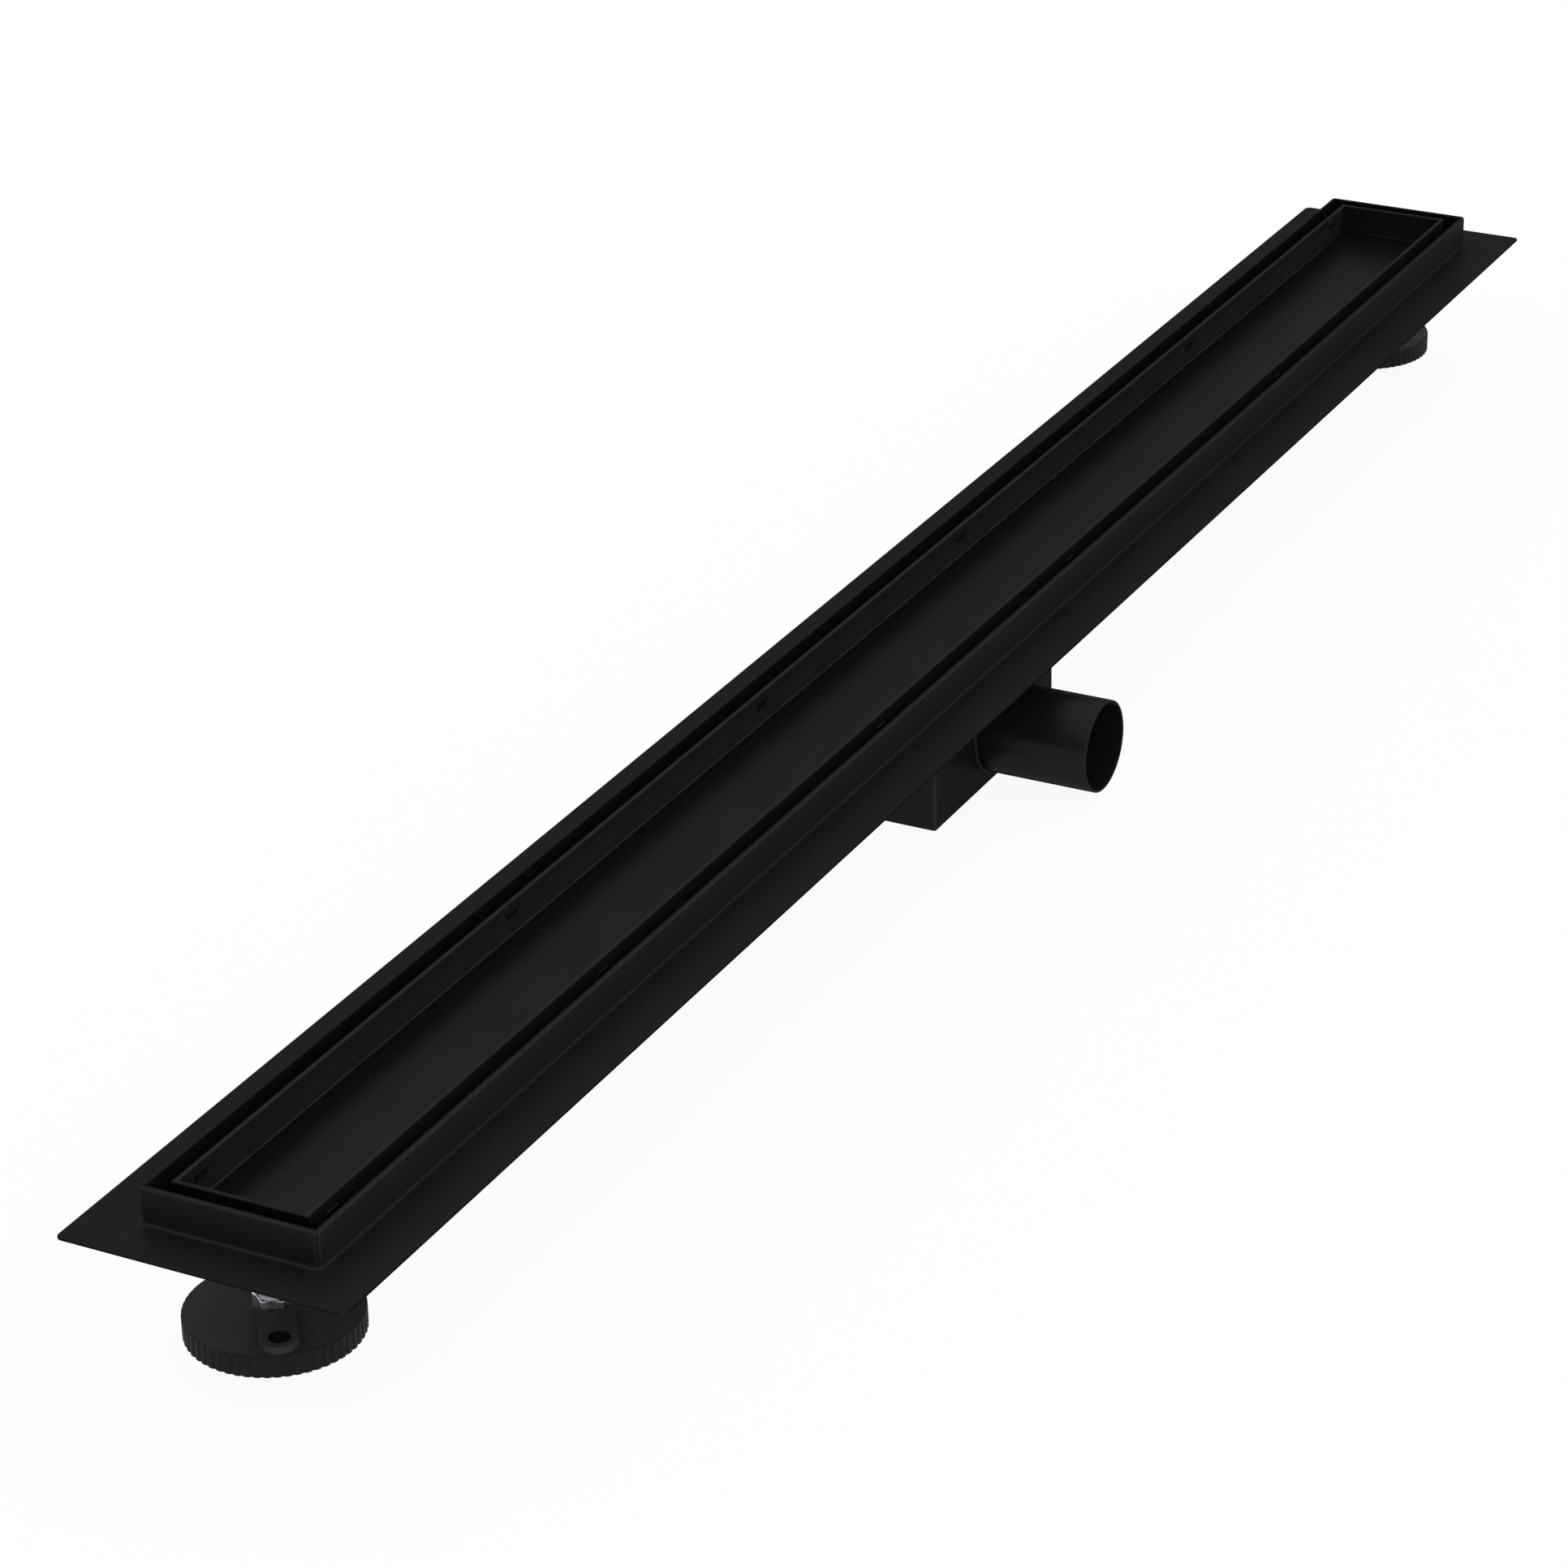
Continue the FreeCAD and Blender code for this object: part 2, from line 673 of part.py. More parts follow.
for end, place, lug_turn in (("near", -foot_place, lug_turn_near), ("far", foot_place, lug_turn_far)):
    nodes[f"{end}_foot_stud"] = foot_stud(place)
    nodes[f"{end}_foot_disc"] = foot_disc(place, lug_turn)
    nodes[f"{end}_foot_captive_nut"] = hex_nut(place, foot_clearance + fit_gap, lug_turn)
    nodes[f"{end}_foot_lock_nut"] = hex_nut(place, foot_top, lug_turn + lock_nut_turn)

os.makedirs("parts", exist_ok=True)

for name, shape in nodes.items():
    shape.exportStep(f"parts/{name}.step")
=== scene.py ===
import math

import bpy
import numpy as np
from mathutils import Matrix, Vector


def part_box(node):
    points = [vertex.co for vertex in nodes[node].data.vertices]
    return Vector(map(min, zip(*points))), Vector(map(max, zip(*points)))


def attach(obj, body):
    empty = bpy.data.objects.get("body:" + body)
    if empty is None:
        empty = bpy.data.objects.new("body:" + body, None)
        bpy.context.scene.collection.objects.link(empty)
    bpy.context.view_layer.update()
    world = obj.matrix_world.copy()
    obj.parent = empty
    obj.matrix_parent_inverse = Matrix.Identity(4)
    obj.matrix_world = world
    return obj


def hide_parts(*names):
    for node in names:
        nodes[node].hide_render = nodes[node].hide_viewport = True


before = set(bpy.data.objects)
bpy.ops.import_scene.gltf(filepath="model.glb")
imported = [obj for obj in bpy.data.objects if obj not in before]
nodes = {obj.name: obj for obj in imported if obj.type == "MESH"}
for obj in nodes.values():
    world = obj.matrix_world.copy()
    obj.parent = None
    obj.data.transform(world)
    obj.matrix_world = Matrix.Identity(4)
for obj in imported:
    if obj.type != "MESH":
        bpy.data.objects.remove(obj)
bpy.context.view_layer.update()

MM = 0.001


def half_size(name):
    """Half the length, half the width and the top of a CAD node that lies about the origin."""
    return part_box(name)[1]


FLANGE_HALF_LENGTH, FLANGE_HALF_WIDTH, FRAME_TOP = half_size("channel_body")
FRAME_HALF_LENGTH = FLANGE_HALF_LENGTH - 20.0 * MM
FRAME_HALF_WIDTH = FLANGE_HALF_WIDTH - 22.0 * MM
FLANGE_TOP = FRAME_TOP - 15.0 * MM
TRAY_HALF_LENGTH = FRAME_HALF_LENGTH - 7.8 * MM
TRAY_HALF_WIDTH = FRAME_HALF_WIDTH - 8.5 * MM
TRAY_FLOOR = FRAME_TOP - 14.6 * MM
TONGUE_END = TRAY_HALF_LENGTH - 16.2 * MM
TONGUE_HEIGHT = TRAY_FLOOR + 8.4 * MM
FRONT_TONGUES = (-1.0, -0.64, -0.198, 0.156, 0.608, 1.0)
REAR_TONGUES = (-1.0, -0.592, -0.202, 0.16, 0.647, 1.0)
BOX_HALF_LENGTH, BOX_HALF_WIDTH, _ = half_size("trap_box")
PIPE_HEIGHT = 24.6 * MM
PIPE_OUTER = 20.0 * MM
PIPE_INNER = 19.0 * MM
DISC_RADIUS = 32.5 * MM
LUG_REACH = 24.8 * MM
LUG_TURN = {"near": 217.0, "far": 130.0}
LOCK_NUT_TURN = 21.0
STUD_RADIUS = 4.0 * MM
THREAD_PITCH = 1.25 * MM


# Shader groups

def socket(group, name, kind, way, value=None):
    """Adds a named socket to a shader group."""
    made = group.interface.new_socket(name=name, in_out=way, socket_type=kind)
    if value is not None:
        made.default_value = value
    return made


def link(tree, start, end):
    tree.links.new(start, end)


def math_node(tree, operation, first, second=None, clamp=False):
    """Math node; each operand is a number or another node's output."""
    node = tree.nodes.new("ShaderNodeMath")
    node.operation = operation
    node.use_clamp = clamp
    for place, value in enumerate((first, second)):
        if value is None:
            continue
        if isinstance(value, (int, float)):
            node.inputs[place].default_value = value
        else:
            link(tree, value, node.inputs[place])
    return node.outputs["Value"]


def split(tree, vector):
    node = tree.nodes.new("ShaderNodeSeparateXYZ")
    link(tree, vector, node.inputs["Vector"])
    return node.outputs["X"], node.outputs["Y"], node.outputs["Z"]


def brushed_grain_group():
    """Brushed grain under a thin coat: noise drawn out by Stretch, over a slow cloud."""
    group = bpy.data.node_groups.new("brushed_grain", "ShaderNodeTree")
    socket(group, "Position", "NodeSocketVector", "INPUT")
    socket(group, "Fineness", "NodeSocketFloat", "INPUT", 1500.0)
    socket(group, "Stretch", "NodeSocketVector", "INPUT", (0.05, 1.0, 1.0))
    socket(group, "Tone", "NodeSocketFloat", "OUTPUT")
    socket(group, "Height", "NodeSocketFloat", "OUTPUT")
    come = group.nodes.new("NodeGroupInput")
    go = group.nodes.new("NodeGroupOutput")
    drawn = group.nodes.new("ShaderNodeVectorMath")
    drawn.operation = "MULTIPLY"
    link(group, come.outputs["Position"], drawn.inputs[0])
    link(group, come.outputs["Stretch"], drawn.inputs[1])
    lines = group.nodes.new("ShaderNodeTexNoise")
    lines.inputs["Detail"].default_value = 3.0
    lines.inputs["Roughness"].default_value = 0.65
    link(group, drawn.outputs["Vector"], lines.inputs["Vector"])
    link(group, come.outputs["Fineness"], lines.inputs["Scale"])
    cloud = group.nodes.new("ShaderNodeTexNoise")
    cloud.inputs["Scale"].default_value = 30.0
    cloud.inputs["Detail"].default_value = 4.0
    link(group, come.outputs["Position"], cloud.inputs["Vector"])
    blend = group.nodes.new("ShaderNodeMix")
    blend.data_type = "FLOAT"
    blend.inputs["Factor"].default_value = 0.45
    link(group, lines.outputs["Fac"], blend.inputs["A"])
    link(group, cloud.outputs["Fac"], blend.inputs["B"])
    link(group, blend.outputs["Result"], go.inputs["Tone"])
    link(group, lines.outputs["Fac"], go.inputs["Height"])
    return group


def moulded_grain_group():
    """Spark-eroded grain of a moulding: fine noise for the colour and rounded pits for the height."""
    group = bpy.data.node_groups.new("moulded_grain", "ShaderNodeTree")
    socket(group, "Position", "NodeSocketVector", "INPUT")
    socket(group, "Fineness", "NodeSocketFloat", "INPUT", 2200.0)
    socket(group, "Tone", "NodeSocketFloat", "OUTPUT")
    socket(group, "Height", "NodeSocketFloat", "OUTPUT")
    come = group.nodes.new("NodeGroupInput")
    go = group.nodes.new("NodeGroupOutput")
    speck = group.nodes.new("ShaderNodeTexNoise")
    speck.inputs["Detail"].default_value = 2.0
    speck.inputs["Roughness"].default_value = 0.7
    link(group, come.outputs["Position"], speck.inputs["Vector"])
    link(group, come.outputs["Fineness"], speck.inputs["Scale"])
    pits = group.nodes.new("ShaderNodeTexVoronoi")
    pits.feature = "SMOOTH_F1"
    link(group, come.outputs["Position"], pits.inputs["Vector"])
    link(group, come.outputs["Fineness"], pits.inputs["Scale"])
    link(group, speck.outputs["Fac"], go.inputs["Tone"])
    height = math_node(group, "ADD", speck.outputs["Fac"], pits.outputs["Distance"])
    link(group, height, go.inputs["Height"])
    return group


def recess_group():
    """1 inside an upright box about the origin, below its top; falls to 0 over Blur."""
    group = bpy.data.node_groups.new("recess", "ShaderNodeTree")
    socket(group, "Position", "NodeSocketVector", "INPUT")
    socket(group, "Half Length", "NodeSocketFloat", "INPUT", 0.5)
    socket(group, "Half Width", "NodeSocketFloat", "INPUT", 0.03)
    socket(group, "Top", "NodeSocketFloat", "INPUT", 0.07)
    socket(group, "Blur", "NodeSocketFloat", "INPUT", 0.0002)
    socket(group, "Inside", "NodeSocketFloat", "OUTPUT")
    come = group.nodes.new("NodeGroupInput")
    go = group.nodes.new("NodeGroupOutput")
    x, y, z = split(group, come.outputs["Position"])
    gaps = (
        math_node(group, "SUBTRACT", come.outputs["Half Length"], math_node(group, "ABSOLUTE", x)),
        math_node(group, "SUBTRACT", come.outputs["Half Width"], math_node(group, "ABSOLUTE", y)),
        math_node(group, "SUBTRACT", come.outputs["Top"], z),
    )
    least = math_node(group, "MINIMUM", math_node(group, "MINIMUM", gaps[0], gaps[1]), gaps[2])
    inside = math_node(group, "DIVIDE", least, come.outputs["Blur"])
    link(group, math_node(group, "ADD", inside, 0.5, clamp=True), go.inputs["Inside"])
    return group


def band_group():
    """1 on a line of Width where Value is near Centre, with soft edges."""
    group = bpy.data.node_groups.new("band", "ShaderNodeTree")
    socket(group, "Value", "NodeSocketFloat", "INPUT")
    socket(group, "Centre", "NodeSocketFloat", "INPUT")
    socket(group, "Width", "NodeSocketFloat", "INPUT", 0.0005)
    socket(group, "Line", "NodeSocketFloat", "OUTPUT")
    come = group.nodes.new("NodeGroupInput")
    go = group.nodes.new("NodeGroupOutput")
    off = math_node(group, "SUBTRACT", come.outputs["Value"], come.outputs["Centre"])
    share = math_node(group, "DIVIDE", math_node(group, "ABSOLUTE", off), come.outputs["Width"])
    line = math_node(group, "SUBTRACT", 1.3, math_node(group, "MULTIPLY", share, 1.6), clamp=True)
    link(group, line, go.inputs["Line"])
    return group


def scuff_group():
    """Soft oval mark at Centre, half as long as Reach in each direction."""
    group = bpy.data.node_groups.new("scuff", "ShaderNodeTree")
    socket(group, "Position", "NodeSocketVector", "INPUT")
    socket(group, "Centre", "NodeSocketVector", "INPUT")
    socket(group, "Reach", "NodeSocketVector", "INPUT", (0.003, 0.001, 0.001))
    socket(group, "Mark", "NodeSocketFloat", "OUTPUT")
    come = group.nodes.new("NodeGroupInput")
    go = group.nodes.new("NodeGroupOutput")
    away = group.nodes.new("ShaderNodeVectorMath")
    away.operation = "SUBTRACT"
    link(group, come.outputs["Position"], away.inputs[0])
    link(group, come.outputs["Centre"], away.inputs[1])
    share = group.nodes.new("ShaderNodeVectorMath")
    share.operation = "DIVIDE"
    link(group, away.outputs["Vector"], share.inputs[0])
    link(group, come.outputs["Reach"], share.inputs[1])
    far = group.nodes.new("ShaderNodeVectorMath")
    far.operation = "LENGTH"
    link(group, share.outputs["Vector"], far.inputs[0])
    link(group, math_node(group, "SUBTRACT", 1.0, far.outputs["Value"], clamp=True), go.inputs["Mark"])
    return group


brushed_grain = brushed_grain_group()
moulded_grain = moulded_grain_group()
recess = recess_group()
band = band_group()
scuff = scuff_group()


# Materials

def new_material(name):
    material = bpy.data.materials.new(name)
    material.use_nodes = True
    tree = material.node_tree
    shader = next(n for n in tree.nodes if n.type == "BSDF_PRINCIPLED")
    coords = tree.nodes.new("ShaderNodeTexCoord")
    return material, tree, shader, coords.outputs["Object"]


def ramp(tree, value, low, high, start=0.3, end=0.7):
    """Spreads a value from start..end onto low..high."""
    node = tree.nodes.new("ShaderNodeMapRange")
    node.inputs["From Min"].default_value = start
    node.inputs["From Max"].default_value = end
    node.inputs["To Min"].default_value = low
    node.inputs["To Max"].default_value = high
    link(tree, value, node.inputs["Value"])
    return node.outputs["Result"]


def grey(tree, value):
    node = tree.nodes.new("ShaderNodeCombineColor")
    for channel in ("Red", "Green", "Blue"):
        link(tree, value, node.inputs[channel])
    return node.outputs["Color"]


def bumped(tree, shader, height, strength, distance):
    bump = tree.nodes.new("ShaderNodeBump")
    bump.inputs["Strength"].default_value = strength
    bump.inputs["Distance"].default_value = distance
    link(tree, height, bump.inputs["Height"])
    link(tree, bump.outputs["Normal"], shader.inputs["Normal"])


def coated_steel(name, tone=0.0192, rough=0.4, edge=0.45, metallic=0.55, stretch=(0.05, 1.0, 1.0),
                 bump=0.1, fade=0.66, shade=None, gloss=None):
    """Satin black coating over brushed steel. Its gloss fades out at flat angles, from fade on; shade
    gives a factor of painted light and shade for the tone, gloss one for the metallic share, from the
    position."""
    material, tree, shader, position = new_material(name)
    grain = tree.nodes.new("ShaderNodeGroup")
    grain.node_tree = brushed_grain
    grain.inputs["Stretch"].default_value = stretch
    link(tree, position, grain.inputs["Position"])
    colour = ramp(tree, grain.outputs["Tone"], tone * 0.92, tone * 1.08)
    if shade is not None:
        colour = math_node(tree, "MULTIPLY", colour, shade(tree, position))
    link(tree, grey(tree, colour), shader.inputs["Base Color"])
    link(tree, ramp(tree, grain.outputs["Tone"], rough - 0.01, rough + 0.01), shader.inputs["Roughness"])
    facing = tree.nodes.new("ShaderNodeLayerWeight")
    share = ramp(tree, facing.outputs["Facing"], metallic, 0.0, fade, fade + 0.24)
    if gloss is not None:
        share = math_node(tree, "MULTIPLY", share, gloss(tree, position))
    link(tree, share, shader.inputs["Metallic"])
    shader.inputs["IOR"].default_value = 1.0
    shader.inputs["Specular Tint"].default_value = (edge, edge, edge, 1.0)
    bumped(tree, shader, grain.outputs["Height"], bump, 0.00003)
    return material


def boxed(tree, position, half_length, half_width, top):
    node = tree.nodes.new("ShaderNodeGroup")
    node.node_tree = recess
    node.inputs["Half Length"].default_value = half_length
    node.inputs["Half Width"].default_value = half_width
    node.inputs["Top"].default_value = top
    link(tree, position, node.inputs["Position"])
    return node.outputs["Inside"]


def lined(tree, value, centre, width):
    """Mask of a line, its centre and width in millimetres."""
    node = tree.nodes.new("ShaderNodeGroup")
    node.node_tree = band
    node.inputs["Centre"].default_value = centre * MM
    node.inputs["Width"].default_value = width * MM
    link(tree, value, node.inputs["Value"])
    return node.outputs["Line"]


def rises(tree, value, start, end):
    """Mask: 0 up to start, 1 from end on, in millimetres."""
    return ramp(tree, value, 0.0, 1.0, start * MM, end * MM)


def falls(tree, value, start, end):
    """Mask: 1 up to start, 0 from end on, in millimetres."""
    return ramp(tree, value, 1.0, 0.0, start * MM, end * MM)


def both(tree, first, second):
    """Mask: 1 where both masks are 1."""
    return math_node(tree, "MULTIPLY", first, second)


def times(tree, total, mask, factor):
    """Multiplies total by factor where mask is 1."""
    return math_node(tree, "MULTIPLY", total, ramp(tree, mask, 1.0, factor, 0.0, 1.0))


def outside_of(tree, x, y, half_length, half_width):
    """How far a point lies past the ends, past the sides and outside of an upright box about the
    origin, or how deep inside, as minus."""
    past_end = math_node(tree, "SUBTRACT", math_node(tree, "ABSOLUTE", x), half_length)
    past_side = math_node(tree, "SUBTRACT", math_node(tree, "ABSOLUTE", y), half_width)
    return past_end, past_side, math_node(tree, "MAXIMUM", past_end, past_side)


def channel_painted_light(tree, position):
    """Painted shade in the frame and trough, on the rim's flat top, on the sheet's cut edges, under
    the flange and on the end walls; painted highlights on the frame's long sides, along the folds, up
    the frame's corners and along the rim's outer edge; two faint scuffs on the near end's flange."""
    x, y, z = split(tree, position)
    above_flange = math_node(tree, "SUBTRACT", z, FLANGE_TOP)
    below_top = math_node(tree, "SUBTRACT", FRAME_TOP, z)
    past_end, past_side, past = outside_of(tree, x, y, FRAME_HALF_LENGTH, FRAME_HALF_WIDTH)

    hem = 1.6 * MM
    half_length = FRAME_HALF_LENGTH - hem
    half_width = FRAME_HALF_WIDTH - hem
    # Painted shade in the slot: the frame's inside and the trough are darker, and the inner end walls more
    # so.
    inside = boxed(tree, position, half_length, half_width, FRAME_TOP - 0.8 * MM)
    inner_end = both(tree, rises(tree, past_end, -2.0, -1.8), inside)
    total = times(tree, 1.0, inside, 0.7)
    total = times(tree, total, inner_end, 0.45)

    # Painted light on the upright walls: the long sides are lighter, the end walls darker, and painted
    # highlight lines run up each corner.
    wall = both(tree, rises(tree, past, -0.4, -0.2), rises(tree, above_flange, 0.6, 1.2))
    side_wall = both(tree, rises(tree, past_side, -0.4, -0.2), falls(tree, past, 0.3, 0.6))
    end_wall = rises(tree, past_end, -0.4, -0.2)
    end_corner_highlight = lined(tree, past_side, -1.3, 0.5)
    side_corner_highlight = lined(tree, past_end, -1.3, 0.5)
    corner_highlights = math_node(tree, "MAXIMUM", end_corner_highlight, side_corner_highlight)
    total = times(tree, total, both(tree, side_wall, wall), 1.4)
    total = times(tree, total, both(tree, end_wall, wall), 0.88)
    total = times(tree, total, both(tree, corner_highlights, wall), 1.6)

    # Painted highlight along the rim's outer edge; painted shade on the rim's flat top.
    rim = both(tree, lined(tree, below_top, 0.4, 0.6), rises(tree, past, -1.1, -0.8))
    land = both(tree, falls(tree, below_top, 0.0, 0.1), falls(tree, past, -1.2, -0.8))
    total = times(tree, total, rim, 1.15)
    total = times(tree, total, land, 0.72)

    # Two painted highlight lines along the fold where the wall meets the flange; painted shade on the
    # flange's cut edges and under the flange.
    inner_line = lined(tree, above_flange, 1.1, 0.4)
    outer_line = both(tree, lined(tree, past, 1.7, 0.4), lined(tree, above_flange, 0.0, 0.4))
    cut = outside_of(tree, x, y, FLANGE_HALF_LENGTH, FLANGE_HALF_WIDTH)[2]
    total = times(tree, total, inner_line, 1.4)
    total = times(tree, total, outer_line, 1.45)
    total = times(tree, total, rises(tree, cut, -0.2, 0.0), 0.5)
    total = times(tree, total, falls(tree, above_flange, -0.7, -0.5), 0.85)

    for place, strength in ((-35.7, 0.32), (36.4, 0.18)):
        node = tree.nodes.new("ShaderNodeGroup")
        node.node_tree = scuff
        node.inputs["Centre"].default_value = (10.0 * MM - FLANGE_HALF_LENGTH, place * MM, FLANGE_TOP)
        node.inputs["Reach"].default_value = (4.2 * MM, 1.6 * MM, 1.0 * MM)
        link(tree, position, node.inputs["Position"])
        total = math_node(tree, "ADD", total, math_node(tree, "MULTIPLY", node.outputs["Mark"], strength))
    return total


def tongue_window(tree, x, y, z):
    """1 in the windows of the tray's long walls that the tongues are bent out of."""
    nearest = 1.0
    for shares, side in ((REAR_TONGUES, 1.0), (FRONT_TONGUES, -1.0)):
        other_wall = falls(tree, math_node(tree, "MULTIPLY", y, side), 0.0, 1.0)
        for share in shares:
            away = math_node(tree, "ABSOLUTE", math_node(tree, "SUBTRACT", x, share * TONGUE_END))
            nearest = math_node(tree, "MINIMUM", math_node(tree, "ADD", away, other_wall), nearest)
    height = math_node(tree, "SUBTRACT", z, TONGUE_HEIGHT)
    return both(tree, falls(tree, nearest, 4.1, 4.3), lined(tree, height, 0.0, 3.5))


def tray_painted_light(tree, position):
    """Painted shade on the outsides of the tray's walls, under its floor, at its tongues, inside its ends,
    on the hem's band and in the folds, and along the rim's top; painted light inside its long walls."""
    x, y, z = split(tree, position)
    above_floor = math_node(tree, "SUBTRACT", z, TRAY_FLOOR)
    below_top = math_node(tree, "SUBTRACT", FRAME_TOP, z)
    past_end, past_side, past = outside_of(tree, x, y, TRAY_HALF_LENGTH, TRAY_HALF_WIDTH)

    inset = 0.35 * MM
    inside = boxed(tree, position, TRAY_HALF_LENGTH - inset, TRAY_HALF_WIDTH - inset, 1.0)
    lip = falls(tree, below_top, 0.3, 0.5)
    below_lip = rises(tree, below_top, 0.4, 0.6)
    in_tray = both(tree, inside, rises(tree, above_floor, -0.4, -0.2))
    # Painted shade: all but the tray's inside and rim are darker, and darker still outside its end walls,
    # past its side walls at the tongues and in the tongues' windows.
    total = ramp(tree, math_node(tree, "MAXIMUM", in_tray, lip, clamp=True), 0.72, 1.0, 0.0, 1.0)
    outer_end = both(tree, rises(tree, past_end, -0.3, -0.1), below_lip)
    total = times(tree, total, outer_end, 0.35)
    total = times(tree, total, rises(tree, past_side, 0.2, 0.4), 0.3)
    total = times(tree, total, tongue_window(tree, x, y, z), 0.3)

    # Painted light inside the long walls; painted shade on the inner end walls and on the hem's band below
    # the rim.
    inner_side = both(tree, rises(tree, past_side, -2.6, -2.2), inside)
    inner_end = both(tree, rises(tree, past_end, -2.6, -2.2), inside)
    hem = both(tree, falls(tree, below_top, 4.4, 4.6), below_lip)
    total = times(tree, total, inner_side, 1.3)
    total = times(tree, total, both(tree, inner_end, below_lip), 0.6)
    total = times(tree, total, both(tree, hem, inside), 0.75)

    # Painted shade on the rim's top, with a dark line along its middle and slightly darker edges, and in
    # the crease where the floor meets the walls.
    edges = math_node(tree, "MAXIMUM", lined(tree, past, -0.2, 0.3), lined(tree, past, -1.6, 0.3))
    fold = both(tree, lined(tree, above_floor, 0.3, 0.5), rises(tree, past, -2.6, -2.2))
    total = times(tree, total, both(tree, lined(tree, past, -0.9, 0.3), lip), 0.55)
    total = times(tree, total, both(tree, edges, lip), 0.9)
    return times(tree, total, both(tree, fold, inside), 0.9)


def tray_gloss(tree, position):
    """The tray's floor is glossier than its walls."""
    above_floor = math_node(tree, "SUBTRACT", split(tree, position)[2], TRAY_FLOOR)
    return times(tree, 1.0, rises(tree, above_floor, 0.1, 0.5), 0.4)


def box_painted_highlight(tree, position):
    """Painted highlights along the housing's upright folds and round its base."""
    x, y, z = split(tree, position)
    past_end, past_side, _ = outside_of(tree, x, y, BOX_HALF_LENGTH, BOX_HALF_WIDTH)
    corner = math_node(tree, "MINIMUM", past_end, past_side)
    total = times(tree, 1.0, rises(tree, corner, -1.3, -0.8), 1.45)
    return times(tree, total, lined(tree, z, 0.6, 0.6), 1.3)


def pipe_painted_shade(tree, position):
    """Painted shade inside the pipe's bore and on the weld's root."""
    x, y, z = split(tree, position)
    rise = math_node(tree, "SUBTRACT", z, PIPE_HEIGHT)
    away = math_node(tree, "SQRT", math_node(tree, "ADD", math_node(tree, "POWER", x, 2.0),
                                             math_node(tree, "POWER", rise, 2.0)))
    past_bore = math_node(tree, "SUBTRACT", away, PIPE_INNER)
    past_wall = math_node(tree, "ADD", y, BOX_HALF_WIDTH)
    total = times(tree, 1.0, falls(tree, past_bore, 0.1, 0.4), 0.95)
    return times(tree, total, rises(tree, past_wall, -1.3, -0.9), 0.8)


def stud_place(end):
    """Centre of a foot's stud in the plan."""
    low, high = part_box(f"{end}_foot_stud")
    return (low[0] + high[0]) / 2, (low[1] + high[1]) / 2


def lug_hole_place(end):
    """Centre of a foot's screw hole in the plan, out from the stud in the lug's direction."""
    x, y = stud_place(end)
    turn = math.radians(LUG_TURN[end])
    return x + LUG_REACH * math.cos(turn), y + LUG_REACH * math.sin(turn)


def foot_painted_shade(tree, position):
    """Painted shade round a foot's fluted rim and down its screw hole; both feet in one material."""
    x, y, _ = split(tree, position)
    flat = tree.nodes.new("ShaderNodeCombineXYZ")
    link(tree, x, flat.inputs["X"])
    link(tree, y, flat.inputs["Y"])

    def distance(place):
        node = tree.nodes.new("ShaderNodeVectorMath")
        node.operation = "DISTANCE"
        node.inputs[1].default_value = (*place, 0.0)
        link(tree, flat.outputs["Vector"], node.inputs[0])
        return node.outputs["Value"]

    def nearest(place_of):
        return math_node(tree, "MINIMUM", distance(place_of("near")), distance(place_of("far")))

    past_rim = math_node(tree, "SUBTRACT", nearest(stud_place), DISC_RADIUS)
    total = times(tree, 1.0, rises(tree, past_rim, -0.7, -0.5), 0.31)
    return times(tree, total, falls(tree, nearest(lug_hole_place), 4.03, 4.1), 0.1)


def moulded(name, dark, light, rough, specular, fineness=2200.0, bump=0.2, metallic=0.0, shade=None):
    """Moulded, cast or plated surface: two close colours mixed by a fine grain, which also pits it;
    shade gives a factor of painted shade for the colour from the position."""
    material, tree, shader, position = new_material(name)
    grain = tree.nodes.new("ShaderNodeGroup")
    grain.node_tree = moulded_grain
    grain.inputs["Fineness"].default_value = fineness
    link(tree, position, grain.inputs["Position"])
    mix = tree.nodes.new("ShaderNodeMix")
    mix.data_type = "RGBA"
    mix.inputs["A"].default_value = (*dark, 1.0)
    mix.inputs["B"].default_value = (*light, 1.0)
    link(tree, ramp(tree, grain.outputs["Tone"], 0.0, 1.0), mix.inputs["Factor"])
    colour = mix.outputs["Result"]
    if shade is not None:
        dimmed = tree.nodes.new("ShaderNodeMix")
        dimmed.data_type = "RGBA"
        dimmed.inputs["A"].default_value = (0.0, 0.0, 0.0, 1.0)
        link(tree, colour, dimmed.inputs["B"])
        link(tree, shade(tree, position), dimmed.inputs["Factor"])
        colour = dimmed.outputs["Result"]
    link(tree, colour, shader.inputs["Base Color"])
    link(tree, ramp(tree, grain.outputs["Tone"], rough - 0.06, rough + 0.06), shader.inputs["Roughness"])
    shader.inputs["Metallic"].default_value = metallic
    shader.inputs["Specular IOR Level"].default_value = specular
    bumped(tree, shader, grain.outputs["Height"], bump, 0.00015)
    return material


